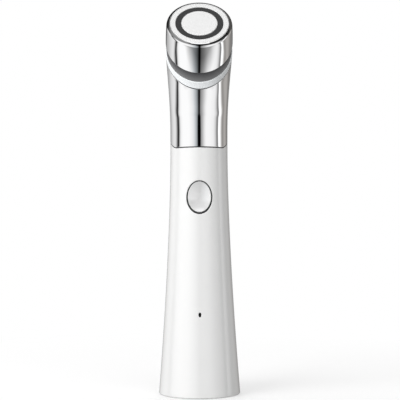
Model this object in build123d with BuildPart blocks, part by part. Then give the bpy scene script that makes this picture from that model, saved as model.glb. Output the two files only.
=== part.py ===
from build123d import *
import os
from math import cos, radians, sin

os.makedirs("parts", exist_ok=True)

# Millimetres and degrees. The base stands on z = 0, the button faces -Y, and a station
# is a distance along the centreline, measured up from the base.

# Outline of the grip and the neck
BASE_RADIUS = 17.05
WAIST_RADIUS = 11.98
GRIP_LENGTH = 100.0
GRIP_POWER = 1.58
FLARE_START = 109.0
FLARE_END = 153.0
NECK_TOP_RADIUS = 13.75
BEND_START = 115.0
BEND_RADIUS = 35.0
HEAD_ANGLE = 52.2
BEND_END = BEND_START + BEND_RADIUS * radians(HEAD_ANGLE)
SECTION_STEP = 3.0

# Slanted planes across the top of the neck, by distance from the end of the bend
PARTING_ANGLE = 69.4
HEAD_SEAT = 2.8
GROOVE_SEAT = -1.6
SLEEVE_END = -4.3
LINE_GAP = 0.3
FIT_GAP = 0.05

# Seam between the grip and the polished sleeve, seen from the side
SEAM_HEIGHT = 102.15
SEAM_TURN = -7.2
SEAM_ARC = 2.0
SEAM_SLOPE = 24.0
SEAM_GAP = 0.42
REACH = 40.0

# Walls
SHELL_WALL = 1.6
SHELL_TOP = 123.0
SLEEVE_WALL = 0.85
LINER_STEP = 99.0
LINER_BOTTOM = 90.0
LINER_OUTER = SLEEVE_WALL + FIT_GAP
LINER_UPPER = 1.4
LINER_BORE = 3.0
SPIGOT_OUTER = SHELL_WALL + 0.1
SPIGOT_REACH = 1.6
RING_INNER = LINER_UPPER - FIT_GAP
GROOVE_DEPTH = 0.3
LINE_DEPTH = 0.1
RINGS_START = 117.0
NECK_END = 162.0

# Head, measured from its face
FACE_DISTANCE = 13.05
HEAD_FRONT_RADIUS = 13.15
HEAD_REAR_RADIUS = 13.8
HEAD_DEPTH = 16.0
RIM_ROUNDING = 1.6
HEAD_BORE = 12.5
FACE_OPENING = 11.8
FACE_LIP = 2.0
OUTER_ELECTRODE_RADIUS = 11.7
INSULATOR_RADIUS = 9.55
CENTRE_RADIUS = 7.2
ELECTRODE_THICKNESS = 0.8
INSULATOR_RECESS = 0.2
CARRIER_FRONT = 0.85
CARRIER_BACK = 3.0
CARRIER_RADIUS = 12.4
PIN_RADIUS = 0.5
PIN_CIRCLE = 10.6
HEAD_BOARD_FRONT = 3.1
HEAD_BOARD_THICKNESS = 0.8
HEAD_BOARD_RADIUS = 11.2
LED_CIRCLE = 8.6

# Grip details
BASE_ROUNDING = 0.7
BASE_LIP = 3.0
BASE_OPENING = 14.3
BUTTON_HEIGHT = 81.8
BUTTON_WIDTH = 9.5
BUTTON_LENGTH = 12.6
BUTTON_LIFT = 0.2
BUTTON_OPENING_WIDTH = 10.7
BUTTON_OPENING_LENGTH = 13.8
DISH_RADIUS = 16.0
DISH_FLOOR_Y = -10.5
DISH_EDGE = 0.2
LENS_HEIGHT = 33.9
LENS_WIDTH = 1.2
LENS_LENGTH = 2.0
LENS_COLLAR_WIDTH = 2.6
LENS_COLLAR_LENGTH = 3.4
LENS_COLLAR_Y = -12.0

# Inside the grip
BOARD_FRONT = -6.8
BOARD_THICKNESS = 1.0
BOARD_WIDTH = 14.0
BOARD_BOTTOM = 18.0
BOARD_TOP = 89.0
DECK_FRONT = -5.7
DECK_BACK = -4.9
DECK_TOP = 84.0
CHASSIS_BOTTOM = 12.0
CHASSIS_TOP = 89.0
CHASSIS_OUTER = SHELL_WALL + 0.15
CHASSIS_INNER = CHASSIS_OUTER + 1.0
LOWER_RIB = (20.5, 22.0)
UPPER_RIB = (66.0, 67.5)
CELL_RADIUS = 6.5
CELL_Y = 2.8
CELL_BOTTOM = 23.0
CELL_TOP = 65.0
MOTOR_Y = 2.5
MOTOR_RADIUS = 3.0
MOTOR_BOTTOM = 68.6
MOTOR_TOP = 78.6
SHAFT_RADIUS = 0.5
USB_Y = 6.0
USB_WIDTH = 8.9
USB_HEIGHT = 3.2
SCREW_SHAFT = 0.7
SCREW_HEAD = 1.3
SLOT_WIDTH = 0.4
SLOT_DEPTH = 0.4
BASE_SCREW_X = 9.5
BOARD_SCREW_X = 5.5
LEG_RADIUS = 2.2
THROUGH = 12.0


def body_radius(station):
    """Outer radius of the grip and the neck."""
    if station < GRIP_LENGTH:
        narrowing = (1 - station / GRIP_LENGTH) ** GRIP_POWER
        return WAIST_RADIUS + (BASE_RADIUS - WAIST_RADIUS) * narrowing
    share = (station - FLARE_START) / (FLARE_END - FLARE_START)
    widening = sin(radians(90 * min(1.0, max(0.0, share)))) ** 2
    return WAIST_RADIUS + (NECK_TOP_RADIUS - WAIST_RADIUS) * widening


def section_plane(station):
    """Plane square to the centreline, its x axis along +X."""
    turn = min(radians(HEAD_ANGLE), max(0.0, (station - BEND_START) / BEND_RADIUS))
    direction = Vector(0, -sin(turn), cos(turn))
    level = min(station, BEND_START)
    point = Vector(0, -BEND_RADIUS * (1 - cos(turn)), level + BEND_RADIUS * sin(turn))
    point += direction * max(0.0, station - BEND_END)
    return Plane(origin=point, x_dir=(1, 0, 0), z_dir=direction)


def parting_plane(distance):
    """Slanted plane that parts the sleeve, the rings and the head."""
    turn = radians(PARTING_ANGLE)
    normal = Vector(0, -sin(turn), cos(turn))
    origin = section_plane(BEND_END).origin + normal * distance
    return Plane(origin=origin, x_dir=(1, 0, 0), z_dir=normal)


def body_loft(shrink, first, last, mode=Mode.ADD):
    """Grip and neck between two stations, made smaller all round by shrink."""
    steps = max(1, round((last - first) / SECTION_STEP))
    sections = []
    for step in range(steps + 1):
        station = first + (last - first) * step / steps
        with BuildSketch(section_plane(station)) as section:
            Circle(body_radius(station) - shrink)
        sections.append(section.sketch)
    loft(sections, mode=mode)


def above_seam(lift, mode):
    """All that lies above the seam, which is level in front and climbs to the back."""
    with BuildSketch(Plane.YZ) as region:
        with BuildLine():
            level = Line((-REACH, SEAM_HEIGHT + lift), (SEAM_TURN, SEAM_HEIGHT + lift))
            rise = JernArc(level @ 1, (1, 0), SEAM_ARC, SEAM_SLOPE)
            slope = Line(rise @ 1, rise @ 1 + (rise % 1) * REACH)
            Polyline(slope @ 1, (-REACH, SEAM_HEIGHT + 2 * REACH), level @ 0)
        make_face()
    extrude(region.sketch, amount=REACH, both=True, mode=mode)


def disc(plane, radius, length, mode=Mode.ADD):
    """Round bar from the plane along its normal."""
    with BuildSketch(plane) as section:
        Circle(radius)
    extrude(section.sketch, amount=length, mode=mode)


def oval(plane, width, length, depth, mode=Mode.ADD):
    """Oval bar from the plane along its normal."""
    with BuildSketch(plane) as section:
        Ellipse(width / 2, length / 2)
    extrude(section.sketch, amount=depth, mode=mode)


def block(plane, width, length, depth, mode=Mode.ADD):
    """Square bar from the plane along its normal."""
    with BuildSketch(plane) as section:
        Rectangle(width, length)
    extrude(section.sketch, amount=depth, mode=mode)


def front_plane(y, z, x=0.0):
    """Plane that faces -Y, its x axis along +X and its y axis along +Z."""
    return Plane(origin=(x, y, z), x_dir=(1, 0, 0), z_dir=(0, -1, 0))


def level_plane(x, y, z):
    """Plane that faces +Z."""
    return Plane(origin=(x, y, z), x_dir=(1, 0, 0), z_dir=(0, 0, 1))


def face_plane(depth=0.0):
    """Plane along the head's face, moved into the head by depth."""
    return section_plane(BEND_END + FACE_DISTANCE).offset(-depth)


def face_point(radius, angle, depth):
    """Plane on a circle about the head's axis, facing out of the head."""
    turn = radians(angle)
    base = face_plane(depth)
    origin = base.from_local_coords((radius * cos(turn), radius * sin(turn), 0))
    return Plane(origin=origin, x_dir=base.x_dir, z_dir=base.z_dir)


# Grip
with BuildPart() as handle_shell:
    body_loft(0, 0, SHELL_TOP)
    fillet(handle_shell.faces().sort_by(Axis.Z)[0].edges(), BASE_ROUNDING)
    body_loft(SHELL_WALL, BASE_LIP, LINER_STEP, mode=Mode.SUBTRACT)
    body_loft(SLEEVE_WALL, LINER_STEP, SHELL_TOP, mode=Mode.SUBTRACT)
    disc(Plane.XY, BASE_OPENING, BASE_LIP, mode=Mode.SUBTRACT)
    above_seam(0, Mode.SUBTRACT)
    opening_plane = front_plane(DECK_FRONT, BUTTON_HEIGHT)
    oval(opening_plane, BUTTON_OPENING_WIDTH, BUTTON_OPENING_LENGTH, THROUGH, Mode.SUBTRACT)
    oval(front_plane(BOARD_FRONT, LENS_HEIGHT), LENS_WIDTH, LENS_LENGTH, THROUGH, Mode.SUBTRACT)
handle_shell.part.label = "handle_shell"
export_step(handle_shell.part, "parts/handle_shell.step")

# Closing cap under the grip, with the charging opening and two counterbored screw holes
CAP_RADIUS = BASE_OPENING - 0.1
CAP_RIM_HEIGHT = 8.0
CAP_RIM_STEP = 0.5
CAP_RIM_WALL = 1.2
SOCKET_MARGIN = 0.5
SCREW_SEAT = 1.8
SEAL_RADIUS = 0.45
SEAL_HEIGHT = 1.6
with BuildPart() as base_cap:
    cap_floor = BASE_LIP - 0.1
    rim_inside = CAP_RADIUS - CAP_RIM_STEP - CAP_RIM_WALL
    disc(Plane.XY, CAP_RADIUS, cap_floor)
    disc(Plane.XY, CAP_RADIUS - CAP_RIM_STEP, CAP_RIM_HEIGHT)
    disc(level_plane(0, 0, cap_floor), rim_inside, CAP_RIM_HEIGHT, Mode.SUBTRACT)
    with BuildSketch(Plane.XY.offset(SEAL_HEIGHT - SEAL_RADIUS)):
        Circle(CAP_RADIUS + 1)
        Circle(CAP_RADIUS - 2 * SEAL_RADIUS, mode=Mode.SUBTRACT)
    extrude(amount=2 * SEAL_RADIUS, mode=Mode.SUBTRACT)
    with BuildSketch(level_plane(0, USB_Y, 0)):
        SlotOverall(USB_WIDTH + SOCKET_MARGIN, USB_HEIGHT + SOCKET_MARGIN)
    extrude(amount=BASE_LIP, mode=Mode.SUBTRACT)
    for side in (-1, 1):
        disc(level_plane(side * BASE_SCREW_X, 0, 0), SCREW_HEAD + 0.5, SCREW_SEAT, Mode.SUBTRACT)
        disc(level_plane(side * BASE_SCREW_X, 0, 0), SCREW_SHAFT + 0.2, BASE_LIP, Mode.SUBTRACT)
base_cap.part.label = "base_cap"
export_step(base_cap.part, "parts/base_cap.step")

with BuildPart() as base_seal:
    ring_centre = CAP_RADIUS - SEAL_RADIUS - 0.02
    with BuildSketch(Plane.XZ):
        with Locations((ring_centre, SEAL_HEIGHT)):
            Circle(SEAL_RADIUS - 0.02)
    revolve(axis=Axis.Z)
base_seal.part.label = "base_seal"
export_step(base_seal.part, "parts/base_seal.step")

BASE_SCREW_LENGTH = 8.1
BASE_HEAD_HEIGHT = 1.1
BASE_SLOT_LENGTH = 1.8
with BuildPart() as base_screws:
    for side in (-1, 1):
        bottom = level_plane(side * BASE_SCREW_X, 0, SCREW_SEAT - BASE_HEAD_HEIGHT)
        disc(bottom, SCREW_HEAD + 0.4, BASE_HEAD_HEIGHT)
        disc(bottom, SCREW_SHAFT, BASE_SCREW_LENGTH)
        block(bottom, BASE_SLOT_LENGTH, SLOT_WIDTH, SLOT_DEPTH, Mode.SUBTRACT)
        block(bottom, SLOT_WIDTH, BASE_SLOT_LENGTH, SLOT_DEPTH, Mode.SUBTRACT)
base_screws.part.label = "base_screws"
export_step(base_screws.part, "parts/base_screws.step")

# Charging socket with its tongue, on its own small board
SOCKET_MOUTH = 0.4
SOCKET_LENGTH = 7.0
SOCKET_WALL = 0.3
SOCKET_REAR_WALL = 0.6
TONGUE_START = 1.4
TONGUE_WIDTH = 6.6
TONGUE_THICKNESS = 0.7
with BuildPart() as usb_socket:
    with BuildSketch(level_plane(0, USB_Y, SOCKET_MOUTH)):
        SlotOverall(USB_WIDTH, USB_HEIGHT)
    extrude(amount=SOCKET_LENGTH)
    with BuildSketch(level_plane(0, USB_Y, SOCKET_MOUTH)):
        SlotOverall(USB_WIDTH - 2 * SOCKET_WALL, USB_HEIGHT - 2 * SOCKET_WALL)
    extrude(amount=SOCKET_LENGTH - SOCKET_REAR_WALL, mode=Mode.SUBTRACT)
    tongue_length = SOCKET_MOUTH + SOCKET_LENGTH - SOCKET_REAR_WALL / 2 - TONGUE_START
    block(level_plane(0, USB_Y, TONGUE_START), TONGUE_WIDTH, TONGUE_THICKNESS, tongue_length)
usb_socket.part.label = "usb_socket"
export_step(usb_socket.part, "parts/usb_socket.step")

CHARGE_BOARD_SIZE = 12.0
CHARGE_BOARD_THICKNESS = 1.0
CHARGE_BOARD_BOTTOM = 3.4
CHARGE_BOARD_Y = USB_Y + USB_HEIGHT / 2 + FIT_GAP + CHARGE_BOARD_THICKNESS / 2
with BuildPart() as charge_board:
    standing = level_plane(0, CHARGE_BOARD_Y, CHARGE_BOARD_BOTTOM)
    block(standing, CHARGE_BOARD_SIZE, CHARGE_BOARD_THICKNESS, CHARGE_BOARD_SIZE)
charge_board.part.label = "charge_board"
export_step(charge_board.part, "parts/charge_board.step")

# Frame that carries the board, the cell and the motor
with BuildPart() as frame_bays:
    for bottom, top in ((CHASSIS_BOTTOM, LOWER_RIB[0]), (LOWER_RIB[1], UPPER_RIB[0])):
        body_loft(CHASSIS_INNER, bottom, top)
    body_loft(CHASSIS_INNER, UPPER_RIB[1], CHASSIS_TOP)
    split(bisect_by=Plane.XZ.offset(-DECK_BACK), keep=Keep.BOTTOM)

DECK_NOTCH_WIDTH = 14.0
PILOT_DEPTH = 5.0
TAB_WIDTH = 4.0
TAB_THICKNESS = 0.2
TAB_GAP = 0.3
TAB_HEIGHTS = (CELL_BOTTOM - 0.4, CELL_TOP + 0.4)
with BuildPart() as inner_chassis:
    body_loft(CHASSIS_OUTER, CHASSIS_BOTTOM, CHASSIS_TOP)
    split(bisect_by=Plane.XZ.offset(-DECK_FRONT), keep=Keep.BOTTOM)
    add(frame_bays.part, mode=Mode.SUBTRACT)
    deck_gap = CHASSIS_TOP - DECK_TOP
    notch = front_plane(DECK_BACK, DECK_TOP + deck_gap / 2)
    block(notch, DECK_NOTCH_WIDTH, deck_gap, 2 * (DECK_BACK - DECK_FRONT), Mode.SUBTRACT)
    for side in (-1, 1):
        leg_bottom = BASE_LIP + 0.1
        leg = level_plane(side * BASE_SCREW_X, 0, leg_bottom)
        disc(leg, LEG_RADIUS, LOWER_RIB[1] - leg_bottom)
        disc(leg, SCREW_SHAFT + 0.03, BASE_SCREW_LENGTH, Mode.SUBTRACT)
    for rib in (LOWER_RIB, UPPER_RIB):
        for side in (-1, 1):
            pilot = front_plane(DECK_FRONT, sum(rib) / 2, side * BOARD_SCREW_X)
            disc(pilot, SCREW_SHAFT - 0.12, -PILOT_DEPTH, Mode.SUBTRACT)
    for height in TAB_HEIGHTS:
        slit = front_plane(DECK_BACK + TAB_GAP, height)
        slit_depth = DECK_BACK - DECK_FRONT + 2 * TAB_GAP
        block(slit, TAB_WIDTH + 2 * TAB_GAP, TAB_THICKNESS + 2 * TAB_GAP, slit_depth, Mode.SUBTRACT)
inner_chassis.part.label = "inner_chassis"
export_step(inner_chassis.part, "parts/inner_chassis.step")

with BuildPart() as main_board:
    board_length = BOARD_TOP - BOARD_BOTTOM
    board_back = BOARD_FRONT + BOARD_THICKNESS
    board_plane = front_plane(board_back, BOARD_BOTTOM + board_length / 2)
    block(board_plane, BOARD_WIDTH, board_length, BOARD_THICKNESS)
    for rib in (LOWER_RIB, UPPER_RIB):
        for side in (-1, 1):
            hole = front_plane(board_back, sum(rib) / 2, side * BOARD_SCREW_X)
            disc(hole, SCREW_SHAFT + 0.1, BOARD_THICKNESS, Mode.SUBTRACT)
main_board.part.label = "main_board"
export_step(main_board.part, "parts/main_board.step")

PAN_HEIGHT = 0.9
PAN_SLOT_LENGTH = 1.6
BOARD_SCREW_LENGTH = 4.0
with BuildPart() as chassis_screws:
    for rib in (LOWER_RIB, UPPER_RIB):
        for side in (-1, 1):
            seat = front_plane(BOARD_FRONT, sum(rib) / 2, side * BOARD_SCREW_X)
            disc(seat, SCREW_HEAD, PAN_HEIGHT)
            disc(seat, SCREW_SHAFT - 0.15, -BOARD_SCREW_LENGTH)
            pan_top = seat.offset(PAN_HEIGHT)
            block(pan_top, PAN_SLOT_LENGTH, SLOT_WIDTH, -SLOT_DEPTH, Mode.SUBTRACT)
            block(pan_top, SLOT_WIDTH, PAN_SLOT_LENGTH, -SLOT_DEPTH, Mode.SUBTRACT)
chassis_screws.part.label = "chassis_screws"
export_step(chassis_screws.part, "parts/chassis_screws.step")

# Components on the main board: a controller, a driver and a row of small ones
CONTROLLER_HEIGHT = 43.0
CONTROLLER_WIDTH = 6.0
DRIVER_HEIGHT = 73.0
DRIVER_WIDTH = 4.0
CHIP_DEPTH = 0.9
SMALL_CHIP_START = 27.5
SMALL_CHIP_PITCH = 2.4
SMALL_CHIP_X = 4.6
SMALL_CHIP_SIZE = (2.0, 1.2, 0.6)
with BuildPart() as board_chips:
    block(front_plane(BOARD_FRONT, CONTROLLER_HEIGHT), CONTROLLER_WIDTH, CONTROLLER_WIDTH, CHIP_DEPTH)
    block(front_plane(BOARD_FRONT, DRIVER_HEIGHT), DRIVER_WIDTH, DRIVER_WIDTH, CHIP_DEPTH)
    for row in range(3):
        for side in (-1, 1):
            height = SMALL_CHIP_START + row * SMALL_CHIP_PITCH
            block(front_plane(BOARD_FRONT, height, side * SMALL_CHIP_X), *SMALL_CHIP_SIZE)
board_chips.part.label = "board_chips"
export_step(board_chips.part, "parts/board_chips.step")

# Step-up coil: a bobbin core with two flanges, and its winding
COIL_HEIGHT = 53.5
FLANGE_RADIUS = 3.5
FLANGE_THICKNESS = 0.7
POST_RADIUS = 1.6
POST_LENGTH = 1.6
with BuildPart() as coil_core:
    flange_top = BOARD_FRONT - FLANGE_THICKNESS
    disc(front_plane(BOARD_FRONT, COIL_HEIGHT), FLANGE_RADIUS, FLANGE_THICKNESS)
    disc(front_plane(flange_top, COIL_HEIGHT), POST_RADIUS, POST_LENGTH)
    disc(front_plane(flange_top - POST_LENGTH, COIL_HEIGHT), FLANGE_RADIUS, FLANGE_THICKNESS)
coil_core.part.label = "coil_core"
export_step(coil_core.part, "parts/coil_core.step")

with BuildPart() as coil_winding:
    winding_plane = front_plane(flange_top - FIT_GAP, COIL_HEIGHT)
    winding_length = POST_LENGTH - 2 * FIT_GAP
    disc(winding_plane, FLANGE_RADIUS - 0.4, winding_length)
    disc(winding_plane, POST_RADIUS + FIT_GAP, winding_length, Mode.SUBTRACT)
coil_winding.part.label = "coil_winding"
export_step(coil_winding.part, "parts/coil_winding.step")

BUZZER_HEIGHT = 62.5
BUZZER_WIDTH = 5.0
BUZZER_DEPTH = 1.8
SOUND_HOLE_RADIUS = 0.6
SOUND_HOLE_FLOOR = 1.0
with BuildPart() as buzzer:
    block(front_plane(BOARD_FRONT, BUZZER_HEIGHT), BUZZER_WIDTH, BUZZER_WIDTH, BUZZER_DEPTH)
    sound_hole = front_plane(BOARD_FRONT - SOUND_HOLE_FLOOR, BUZZER_HEIGHT)
    disc(sound_hole, SOUND_HOLE_RADIUS, BUZZER_DEPTH, Mode.SUBTRACT)
buzzer.part.label = "buzzer"
export_step(buzzer.part, "parts/buzzer.step")

LED_SIZE = (1.6, 0.8, 0.7)
with BuildPart() as status_led:
    block(front_plane(BOARD_FRONT, LENS_HEIGHT), *LED_SIZE)
status_led.part.label = "status_led"
export_step(status_led.part, "parts/status_led.step")

# Dark window with its light guide and the collar that stops it in the wall
LENS_SPAN = 7.5
COLLAR_THICKNESS = 0.7
with BuildPart() as indicator_lens:
    body_loft(0, LENS_HEIGHT - LENS_SPAN, LENS_HEIGHT + LENS_SPAN)
    guide = front_plane(BOARD_FRONT - LED_SIZE[2] - 0.2, LENS_HEIGHT)
    oval(guide, LENS_WIDTH - 0.1, LENS_LENGTH - 0.1, THROUGH, Mode.INTERSECT)
    collar = front_plane(LENS_COLLAR_Y, LENS_HEIGHT)
    oval(collar, LENS_COLLAR_WIDTH, LENS_COLLAR_LENGTH, COLLAR_THICKNESS)
indicator_lens.part.label = "indicator_lens"
export_step(indicator_lens.part, "parts/indicator_lens.step")

# Button with its dished face, two stops behind the wall and a stem to the switch
STOP_FRONT = -9.95
STOP_BACK = -9.2
STOP_WIDTH = 5.0
STOP_LENGTH = 15.4
STEM_TIP = -8.95
STEM_RADIUS = 1.5
cap_centre = BUTTON_HEIGHT + BUTTON_LIFT
with BuildPart() as button_cap:
    oval(front_plane(STOP_BACK, cap_centre), BUTTON_WIDTH, BUTTON_LENGTH, THROUGH)
    with Locations((0, DISH_FLOOR_Y - DISH_RADIUS, cap_centre)):
        Sphere(DISH_RADIUS, mode=Mode.SUBTRACT)
    fillet(button_cap.edges().sort_by(Axis.Y)[0], DISH_EDGE)
    block(front_plane(STOP_BACK, BUTTON_HEIGHT), STOP_WIDTH, STOP_LENGTH, STOP_BACK - STOP_FRONT)
    disc(front_plane(STEM_TIP, BUTTON_HEIGHT), STEM_RADIUS, STEM_TIP - STOP_BACK)
button_cap.part.label = "button_cap"
export_step(button_cap.part, "parts/button_cap.step")

# Dark rubber that fills the gap between the button's opening and the cap
GASKET_RECESS = 0.35
GASKET_SPAN = 10.0
SLIDING_GAP = 0.12
with BuildPart() as button_gasket:
    gasket_low = BUTTON_HEIGHT - GASKET_SPAN
    gasket_high = BUTTON_HEIGHT + GASKET_SPAN
    body_loft(GASKET_RECESS, gasket_low, gasket_high)
    body_loft(SHELL_WALL, gasket_low, gasket_high, mode=Mode.SUBTRACT)
    outer_width = BUTTON_OPENING_WIDTH - 0.04
    outer_length = BUTTON_OPENING_LENGTH - 0.04
    oval(opening_plane, outer_width, outer_length, THROUGH, Mode.INTERSECT)
    cap_plane = front_plane(DECK_FRONT, cap_centre)
    inner_width = BUTTON_WIDTH + 2 * SLIDING_GAP
    inner_length = BUTTON_LENGTH + 2 * SLIDING_GAP
    oval(cap_plane, inner_width, inner_length, THROUGH, Mode.SUBTRACT)
button_gasket.part.label = "button_gasket"
export_step(button_gasket.part, "parts/button_gasket.step")

SWITCH_FRONT = -8.4
SWITCH_WIDTH = 4.4
PLUNGER_RADIUS = 0.9
PLUNGER_LENGTH = 1.5
with BuildPart() as tact_switch:
    switch_depth = BOARD_FRONT - SWITCH_FRONT
    block(front_plane(BOARD_FRONT, BUTTON_HEIGHT), SWITCH_WIDTH, SWITCH_WIDTH, switch_depth)
    well = front_plane(BOARD_FRONT - 0.1, BUTTON_HEIGHT)
    disc(well, PLUNGER_RADIUS + 0.1, switch_depth, Mode.SUBTRACT)
tact_switch.part.label = "tact_switch"
export_step(tact_switch.part, "parts/tact_switch.step")

with BuildPart() as switch_plunger:
    disc(front_plane(STEM_TIP, BUTTON_HEIGHT), PLUNGER_RADIUS, -PLUNGER_LENGTH)
switch_plunger.part.label = "switch_plunger"
export_step(switch_plunger.part, "parts/switch_plunger.step")

# Cell, its foam pads and its welded tabs
CELL_EDGE = 0.5
with BuildPart() as battery_cell:
    disc(level_plane(0, CELL_Y, CELL_BOTTOM), CELL_RADIUS, CELL_TOP - CELL_BOTTOM)
    fillet(battery_cell.edges(), CELL_EDGE)
battery_cell.part.label = "battery_cell"
export_step(battery_cell.part, "parts/battery_cell.step")

PAD_HEIGHTS = (31.0, 57.0)
PAD_WIDTH = 6.0
PAD_LENGTH = 10.0
with BuildPart() as battery_pads:
    pad_back = CELL_Y - CELL_RADIUS - FIT_GAP
    for height in PAD_HEIGHTS:
        block(front_plane(pad_back, height), PAD_WIDTH, PAD_LENGTH, pad_back - DECK_BACK - FIT_GAP)
battery_pads.part.label = "battery_pads"
export_step(battery_pads.part, "parts/battery_pads.step")

TAB_END = CELL_Y + 1
with BuildPart() as battery_tabs:
    for height in TAB_HEIGHTS:
        tab_reach = TAB_END - BOARD_FRONT - BOARD_THICKNESS
        block(front_plane(TAB_END, height), TAB_WIDTH, TAB_THICKNESS, tab_reach)
battery_tabs.part.label = "battery_tabs"
export_step(battery_tabs.part, "parts/battery_tabs.step")

# Vibration motor in its rubber cradle; the half-round weight turns with the shaft
CRADLE_WIDTH = 9.0
CRADLE_LENGTH = 8.0
with BuildPart() as motor_mount:
    block(level_plane(0, MOTOR_Y, UPPER_RIB[1] + FIT_GAP), CRADLE_WIDTH, CRADLE_WIDTH, CRADLE_LENGTH)
    motor_seat = level_plane(0, MOTOR_Y, MOTOR_BOTTOM - FIT_GAP)
    disc(motor_seat, MOTOR_RADIUS + 0.02, CRADLE_LENGTH, Mode.SUBTRACT)
motor_mount.part.label = "motor_mount"
export_step(motor_mount.part, "parts/motor_mount.step")

with BuildPart() as motor_can:
    disc(level_plane(0, MOTOR_Y, MOTOR_BOTTOM), MOTOR_RADIUS, MOTOR_TOP - MOTOR_BOTTOM)
    disc(level_plane(0, MOTOR_Y, MOTOR_BOTTOM + 1), SHAFT_RADIUS + 0.05, MOTOR_TOP, Mode.SUBTRACT)
motor_can.part.label = "motor_can"
export_step(motor_can.part, "parts/motor_can.step")

WEIGHT_BOTTOM = MOTOR_TOP + 0.6
WEIGHT_LENGTH = 3.4
WEIGHT_RADIUS = 2.7
HUB_RADIUS = 1.1
with BuildPart() as motor_weight:
    disc(level_plane(0, MOTOR_Y, WEIGHT_BOTTOM), WEIGHT_RADIUS, WEIGHT_LENGTH)
    split(bisect_by=Plane.XZ.offset(-MOTOR_Y), keep=Keep.BOTTOM)
    disc(level_plane(0, MOTOR_Y, WEIGHT_BOTTOM), HUB_RADIUS, WEIGHT_LENGTH)
    disc(level_plane(0, MOTOR_Y, MOTOR_BOTTOM + 1.1), SHAFT_RADIUS, WEIGHT_BOTTOM - MOTOR_BOTTOM)
motor_weight.part.label = "motor_weight"
export_step(motor_weight.part, "parts/motor_weight.step")

# Neck: polished sleeve over a plastic liner that plugs into the grip
with BuildPart() as neck_sleeve:
    body_loft(0, LINER_STEP, NECK_END)
    body_loft(SLEEVE_WALL, LINER_STEP, NECK_END, mode=Mode.SUBTRACT)
    split(bisect_by=parting_plane(SLEEVE_END), keep=Keep.BOTTOM)
    above_seam(SEAM_GAP, Mode.INTERSECT)
neck_sleeve.part.label = "neck_sleeve"
export_step(neck_sleeve.part, "parts/neck_sleeve.step")

# Thin dark seals that fill the gaps below and above the sleeve
with BuildPart() as sleeve_gasket:
    body_loft(LINE_DEPTH, LINER_STEP, SHELL_TOP)
    body_loft(SLEEVE_WALL, LINER_STEP, SHELL_TOP, mode=Mode.SUBTRACT)
    above_seam(0, Mode.INTERSECT)
    above_seam(SEAM_GAP, Mode.SUBTRACT)
sleeve_gasket.part.label = "sleeve_gasket"
export_step(sleeve_gasket.part, "parts/sleeve_gasket.step")

with BuildPart() as band_gasket:
    body_loft(LINE_DEPTH, RINGS_START, NECK_END)
    body_loft(RING_INNER, RINGS_START, NECK_END, mode=Mode.SUBTRACT)
    split(bisect_by=parting_plane(SLEEVE_END + LINE_GAP), keep=Keep.BOTTOM)
    split(bisect_by=parting_plane(SLEEVE_END), keep=Keep.TOP)
band_gasket.part.label = "band_gasket"
export_step(band_gasket.part, "parts/band_gasket.step")

with BuildPart() as liner_top:
    body_loft(LINER_UPPER, RINGS_START, NECK_END)
    split(bisect_by=parting_plane(HEAD_SEAT + SPIGOT_REACH), keep=Keep.BOTTOM)

NECK_SEAL_HEIGHT = 95.5
NECK_SEAL_RADIUS = 0.5
SEAL_GROOVE_DEPTH = 1.0
with BuildPart() as neck_liner:
    body_loft(LINER_OUTER, LINER_STEP, NECK_END)
    split(bisect_by=parting_plane(SLEEVE_END - 0.5), keep=Keep.BOTTOM)
    add(liner_top.part)
    body_loft(SPIGOT_OUTER, LINER_BOTTOM, LINER_STEP)
    body_loft(LINER_BORE, LINER_BOTTOM, NECK_END, mode=Mode.SUBTRACT)
    spigot_radius = body_radius(NECK_SEAL_HEIGHT) - SPIGOT_OUTER
    with BuildSketch(Plane.XY.offset(NECK_SEAL_HEIGHT - NECK_SEAL_RADIUS - FIT_GAP)):
        Circle(spigot_radius + SEAL_GROOVE_DEPTH)
        Circle(spigot_radius - SEAL_GROOVE_DEPTH, mode=Mode.SUBTRACT)
    extrude(amount=2 * (NECK_SEAL_RADIUS + FIT_GAP), mode=Mode.SUBTRACT)
neck_liner.part.label = "neck_liner"
export_step(neck_liner.part, "parts/neck_liner.step")

with BuildPart() as neck_seal:
    with BuildSketch(Plane.XZ):
        with Locations((spigot_radius + 0.05 - NECK_SEAL_RADIUS, NECK_SEAL_HEIGHT)):
            Circle(NECK_SEAL_RADIUS)
    revolve(axis=Axis.Z)
neck_seal.part.label = "neck_seal"
export_step(neck_seal.part, "parts/neck_seal.step")

with BuildPart() as light_ring:
    body_loft(0, RINGS_START, NECK_END)
    body_loft(RING_INNER, RINGS_START, NECK_END, mode=Mode.SUBTRACT)
    split(bisect_by=parting_plane(GROOVE_SEAT), keep=Keep.BOTTOM)
    split(bisect_by=parting_plane(SLEEVE_END + LINE_GAP), keep=Keep.TOP)
light_ring.part.label = "light_ring"
export_step(light_ring.part, "parts/light_ring.step")

with BuildPart() as groove_gasket:
    body_loft(GROOVE_DEPTH, RINGS_START, NECK_END)
    body_loft(RING_INNER, RINGS_START, NECK_END, mode=Mode.SUBTRACT)
    split(bisect_by=parting_plane(HEAD_SEAT), keep=Keep.BOTTOM)
    split(bisect_by=parting_plane(GROOVE_SEAT), keep=Keep.TOP)
groove_gasket.part.label = "groove_gasket"
export_step(groove_gasket.part, "parts/groove_gasket.step")

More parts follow.
